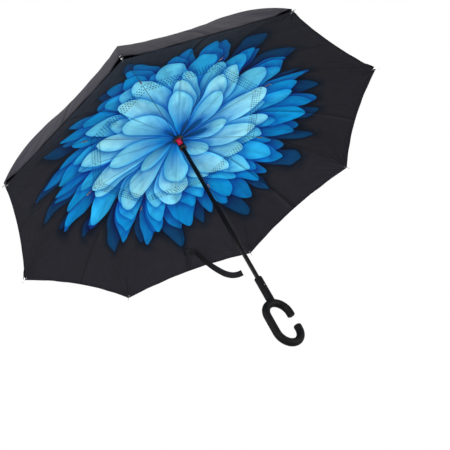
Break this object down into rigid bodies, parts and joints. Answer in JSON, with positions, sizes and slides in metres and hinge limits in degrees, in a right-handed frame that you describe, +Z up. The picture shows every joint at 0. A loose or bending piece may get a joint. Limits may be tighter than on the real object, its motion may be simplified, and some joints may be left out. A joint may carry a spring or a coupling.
{
  "type": "inverted umbrella",
  "caption": "Reverse-folding umbrella with an inner and an outer canopy on hinged ribs, a sliding runner with a push button, and a C-shaped grip.",
  "frame": {"origin": "on the shaft's axis, in the middle of the grip's neck, where a hand holds it", "axes": "+Z up along the shaft from the grip to the crown, with the canopy open; +X towards the mouth of the C-shaped grip"},
  "size_m": [1.1276, 1.1276, 0.8586],
  "materials": {
    "soft_grip": "soft-touch coating, matte",
    "black_plastic": "moulded, satin",
    "red_plastic": "moulded, crimson",
    "black_steel": "black lacquer, semi-gloss",
    "bright_steel": "nickel plated",
    "fibreglass": "black pultruded rod, satin",
    "printed_cloth": "fine woven cloth, black with a printed blue flower",
    "black_cloth": "fine woven cloth, black, slight sheen",
    "ribbon": "black woven ribbon"
  },
  "bodies": {
    "handle": {"grip": "soft_grip", "grip_neck": "soft_grip", "neck_pin": "bright_steel", "shaft": "black_steel", "crown_hub": "black_plastic", "crown_pin": "bright_steel", "crown_cap": "black_plastic", "outer_canopy": "black_cloth"},
    "runner": {"runner": "black_plastic", "rib_hub": "black_plastic", "rib_wire": "bright_steel", "inner_canopy": "printed_cloth", "button_spring": "bright_steel"},
    "button": {"button": "red_plastic", "latch_plate": "bright_steel"},
    "channel_1": {"channel_1": "black_steel"},
    "rod_1": {"rod_1": "fibreglass", "tip_1": "bright_steel"},
    "strut_1": {"strut_1": "black_steel"},
    "bow_1": {"bow_1": "fibreglass"},
    "channel_2": {"channel_2": "black_steel"},
    "rod_2": {"rod_2": "fibreglass", "tip_2": "bright_steel"},
    "strut_2": {"strut_2": "black_steel"},
    "bow_2": {"bow_2": "fibreglass"},
    "channel_3": {"channel_3": "black_steel"},
    "rod_3": {"rod_3": "fibreglass", "tip_3": "bright_steel"},
    "strut_3": {"strut_3": "black_steel"},
    "bow_3": {"bow_3": "fibreglass"},
    "channel_4": {"channel_4": "black_steel"},
    "rod_4": {"rod_4": "fibreglass", "tip_4": "bright_steel"},
    "strut_4": {"strut_4": "black_steel"},
    "bow_4": {"bow_4": "fibreglass"},
    "channel_5": {"channel_5": "black_steel"},
    "rod_5": {"rod_5": "fibreglass", "tip_5": "bright_steel"},
    "strut_5": {"strut_5": "black_steel"},
    "bow_5": {"bow_5": "fibreglass"},
    "channel_6": {"channel_6": "black_steel"},
    "rod_6": {"rod_6": "fibreglass", "tip_6": "bright_steel"},
    "strut_6": {"strut_6": "black_steel"},
    "bow_6": {"bow_6": "fibreglass"},
    "channel_7": {"channel_7": "black_steel"},
    "rod_7": {"rod_7": "fibreglass", "tip_7": "bright_steel"},
    "strut_7": {"strut_7": "black_steel"},
    "bow_7": {"bow_7": "fibreglass"},
    "channel_8": {"channel_8": "black_steel"},
    "rod_8": {"rod_8": "fibreglass", "tip_8": "bright_steel"},
    "strut_8": {"strut_8": "black_steel"},
    "bow_8": {"bow_8": "fibreglass"},
    "strap": {"strap": "ribbon"}
  },
  "joints": [
    {"name": "runner_slide", "type": "slide", "parent": "handle", "child": "runner", "axis": [0, 0, 1], "range_m": [-0.4526, 0], "deforming": ["inner_canopy", "outer_canopy", "strap"]},
    {"name": "button_press", "type": "slide", "parent": "runner", "child": "button", "axis": [0.7071, 0.7071, 0], "range_m": [0, 0.002], "stiffness_N_per_m": 500, "springref_m": -0.001, "deforming": ["button_spring"]},
    {"name": "channel_hinge_1", "type": "hinge", "parent": "runner", "child": "channel_1", "pos_m": [0.014, 0, 0.534], "axis": [0, -1, 0], "range_deg": [0, 73.02]},
    {"name": "rod_hinge_1", "type": "hinge", "parent": "channel_1", "child": "rod_1", "pos_m": [0.275, 0, 0.534], "axis": [0, -1, 0], "range_deg": [0, 27.24]},
    {"name": "strut_hinge_1", "type": "hinge", "parent": "handle", "child": "strut_1", "pos_m": [0.012, 0, 0.663], "axis": [0, 1, 0], "range_deg": [0, 71.98]},
    {"name": "bow_hinge_1", "type": "hinge", "parent": "strut_1", "child": "bow_1", "pos_m": [0.335, 0, 0.614], "axis": [0, -1, 0], "range_deg": [0, 185.63]},
    {"name": "channel_hinge_2", "type": "hinge", "parent": "runner", "child": "channel_2", "pos_m": [0.0099, 0.0099, 0.534], "axis": [0.7071, -0.7071, 0], "range_deg": [0, 73.02]},
    {"name": "rod_hinge_2", "type": "hinge", "parent": "channel_2", "child": "rod_2", "pos_m": [0.19445, 0.19445, 0.534], "axis": [0.7071, -0.7071, 0], "range_deg": [0, 27.24]},
    {"name": "strut_hinge_2", "type": "hinge", "parent": "handle", "child": "strut_2", "pos_m": [0.00848, 0.00848, 0.663], "axis": [-0.7071, 0.7071, 0], "range_deg": [0, 71.98]},
    {"name": "bow_hinge_2", "type": "hinge", "parent": "strut_2", "child": "bow_2", "pos_m": [0.23688, 0.23688, 0.614], "axis": [0.7071, -0.7071, 0], "range_deg": [0, 185.63]},
    {"name": "channel_hinge_3", "type": "hinge", "parent": "runner", "child": "channel_3", "pos_m": [0, 0.014, 0.534], "axis": [1, 0, 0], "range_deg": [0, 73.02]},
    {"name": "rod_hinge_3", "type": "hinge", "parent": "channel_3", "child": "rod_3", "pos_m": [0, 0.275, 0.534], "axis": [1, 0, 0], "range_deg": [0, 27.24]},
    {"name": "strut_hinge_3", "type": "hinge", "parent": "handle", "child": "strut_3", "pos_m": [0, 0.012, 0.663], "axis": [-1, 0, 0], "range_deg": [0, 71.98]},
    {"name": "bow_hinge_3", "type": "hinge", "parent": "strut_3", "child": "bow_3", "pos_m": [0, 0.335, 0.614], "axis": [1, 0, 0], "range_deg": [0, 185.63]},
    {"name": "channel_hinge_4", "type": "hinge", "parent": "runner", "child": "channel_4", "pos_m": [-0.0099, 0.0099, 0.534], "axis": [0.7071, 0.7071, 0], "range_deg": [0, 73.02]},
    {"name": "rod_hinge_4", "type": "hinge", "parent": "channel_4", "child": "rod_4", "pos_m": [-0.19445, 0.19445, 0.534], "axis": [0.7071, 0.7071, 0], "range_deg": [0, 27.24]},
    {"name": "strut_hinge_4", "type": "hinge", "parent": "handle", "child": "strut_4", "pos_m": [-0.00848, 0.00848, 0.663], "axis": [-0.7071, -0.7071, 0], "range_deg": [0, 71.98]},
    {"name": "bow_hinge_4", "type": "hinge", "parent": "strut_4", "child": "bow_4", "pos_m": [-0.23688, 0.23688, 0.614], "axis": [0.7071, 0.7071, 0], "range_deg": [0, 185.63]},
    {"name": "channel_hinge_5", "type": "hinge", "parent": "runner", "child": "channel_5", "pos_m": [-0.014, 0, 0.534], "axis": [0, 1, 0], "range_deg": [0, 73.02]},
    {"name": "rod_hinge_5", "type": "hinge", "parent": "channel_5", "child": "rod_5", "pos_m": [-0.275, 0, 0.534], "axis": [0, 1, 0], "range_deg": [0, 27.24]},
    {"name": "strut_hinge_5", "type": "hinge", "parent": "handle", "child": "strut_5", "pos_m": [-0.012, 0, 0.663], "axis": [0, -1, 0], "range_deg": [0, 71.98]},
    {"name": "bow_hinge_5", "type": "hinge", "parent": "strut_5", "child": "bow_5", "pos_m": [-0.335, 0, 0.614], "axis": [0, 1, 0], "range_deg": [0, 185.63]},
    {"name": "channel_hinge_6", "type": "hinge", "parent": "runner", "child": "channel_6", "pos_m": [-0.0099, -0.0099, 0.534], "axis": [-0.7071, 0.7071, 0], "range_deg": [0, 73.02]},
    {"name": "rod_hinge_6", "type": "hinge", "parent": "channel_6", "child": "rod_6", "pos_m": [-0.19445, -0.19445, 0.534], "axis": [-0.7071, 0.7071, 0], "range_deg": [0, 27.24]},
    {"name": "strut_hinge_6", "type": "hinge", "parent": "handle", "child": "strut_6", "pos_m": [-0.00848, -0.00848, 0.663], "axis": [0.7071, -0.7071, 0], "range_deg": [0, 71.98]},
    {"name": "bow_hinge_6", "type": "hinge", "parent": "strut_6", "child": "bow_6", "pos_m": [-0.23688, -0.23688, 0.614], "axis": [-0.7071, 0.7071, 0], "range_deg": [0, 185.63]},
    {"name": "channel_hinge_7", "type": "hinge", "parent": "runner", "child": "channel_7", "pos_m": [0, -0.014, 0.534], "axis": [-1, 0, 0], "range_deg": [0, 73.02]},
    {"name": "rod_hinge_7", "type": "hinge", "parent": "channel_7", "child": "rod_7", "pos_m": [0, -0.275, 0.534], "axis": [-1, 0, 0], "range_deg": [0, 27.24]},
    {"name": "strut_hinge_7", "type": "hinge", "parent": "handle", "child": "strut_7", "pos_m": [0, -0.012, 0.663], "axis": [1, 0, 0], "range_deg": [0, 71.98]},
    {"name": "bow_hinge_7", "type": "hinge", "parent": "strut_7", "child": "bow_7", "pos_m": [0, -0.335, 0.614], "axis": [-1, 0, 0], "range_deg": [0, 185.63]},
    {"name": "channel_hinge_8", "type": "hinge", "parent": "runner", "child": "channel_8", "pos_m": [0.0099, -0.0099, 0.534], "axis": [-0.7071, -0.7071, 0], "range_deg": [0, 73.02]},
    {"name": "rod_hinge_8", "type": "hinge", "parent": "channel_8", "child": "rod_8", "pos_m": [0.19445, -0.19445, 0.534], "axis": [-0.7071, -0.7071, 0], "range_deg": [0, 27.24]},
    {"name": "strut_hinge_8", "type": "hinge", "parent": "handle", "child": "strut_8", "pos_m": [0.00848, -0.00848, 0.663], "axis": [0.7071, 0.7071, 0], "range_deg": [0, 71.98]},
    {"name": "bow_hinge_8", "type": "hinge", "parent": "strut_8", "child": "bow_8", "pos_m": [0.23688, -0.23688, 0.614], "axis": [-0.7071, -0.7071, 0], "range_deg": [0, 185.63]},
    {"name": "strap_hang", "type": "hinge", "parent": "rod_2", "child": "strap", "pos_m": [0.17158, 0.41423, 0.43724], "axis": [-0.7071, 0.7071, 0], "range_deg": [0, 100.24]}
  ],
  "couplings": [
    {"joint": "channel_hinge_1", "follows": "runner_slide", "rad_per_m": -2.815},
    {"joint": "rod_hinge_1", "follows": "runner_slide", "rad_per_m": -1.0495},
    {"joint": "strut_hinge_1", "follows": "runner_slide", "rad_per_m": -2.7748},
    {"joint": "bow_hinge_1", "follows": "runner_slide", "rad_per_m": -7.1576},
    {"joint": "channel_hinge_2", "follows": "runner_slide", "rad_per_m": -2.815},
    {"joint": "rod_hinge_2", "follows": "runner_slide", "rad_per_m": -1.0495},
    {"joint": "strut_hinge_2", "follows": "runner_slide", "rad_per_m": -2.7748},
    {"joint": "bow_hinge_2", "follows": "runner_slide", "rad_per_m": -7.1576},
    {"joint": "channel_hinge_3", "follows": "runner_slide", "rad_per_m": -2.815},
    {"joint": "rod_hinge_3", "follows": "runner_slide", "rad_per_m": -1.0495},
    {"joint": "strut_hinge_3", "follows": "runner_slide", "rad_per_m": -2.7748},
    {"joint": "bow_hinge_3", "follows": "runner_slide", "rad_per_m": -7.1576},
    {"joint": "channel_hinge_4", "follows": "runner_slide", "rad_per_m": -2.815},
    {"joint": "rod_hinge_4", "follows": "runner_slide", "rad_per_m": -1.0495},
    {"joint": "strut_hinge_4", "follows": "runner_slide", "rad_per_m": -2.7748},
    {"joint": "bow_hinge_4", "follows": "runner_slide", "rad_per_m": -7.1576},
    {"joint": "channel_hinge_5", "follows": "runner_slide", "rad_per_m": -2.815},
    {"joint": "rod_hinge_5", "follows": "runner_slide", "rad_per_m": -1.0495},
    {"joint": "strut_hinge_5", "follows": "runner_slide", "rad_per_m": -2.7748},
    {"joint": "bow_hinge_5", "follows": "runner_slide", "rad_per_m": -7.1576},
    {"joint": "channel_hinge_6", "follows": "runner_slide", "rad_per_m": -2.815},
    {"joint": "rod_hinge_6", "follows": "runner_slide", "rad_per_m": -1.0495},
    {"joint": "strut_hinge_6", "follows": "runner_slide", "rad_per_m": -2.7748},
    {"joint": "bow_hinge_6", "follows": "runner_slide", "rad_per_m": -7.1576},
    {"joint": "channel_hinge_7", "follows": "runner_slide", "rad_per_m": -2.815},
    {"joint": "rod_hinge_7", "follows": "runner_slide", "rad_per_m": -1.0495},
    {"joint": "strut_hinge_7", "follows": "runner_slide", "rad_per_m": -2.7748},
    {"joint": "bow_hinge_7", "follows": "runner_slide", "rad_per_m": -7.1576},
    {"joint": "channel_hinge_8", "follows": "runner_slide", "rad_per_m": -2.815},
    {"joint": "rod_hinge_8", "follows": "runner_slide", "rad_per_m": -1.0495},
    {"joint": "strut_hinge_8", "follows": "runner_slide", "rad_per_m": -2.7748},
    {"joint": "bow_hinge_8", "follows": "runner_slide", "rad_per_m": -7.1576},
    {"joint": "strap_hang", "follows": "runner_slide", "rad_per_m": -3.8646}
  ]
}
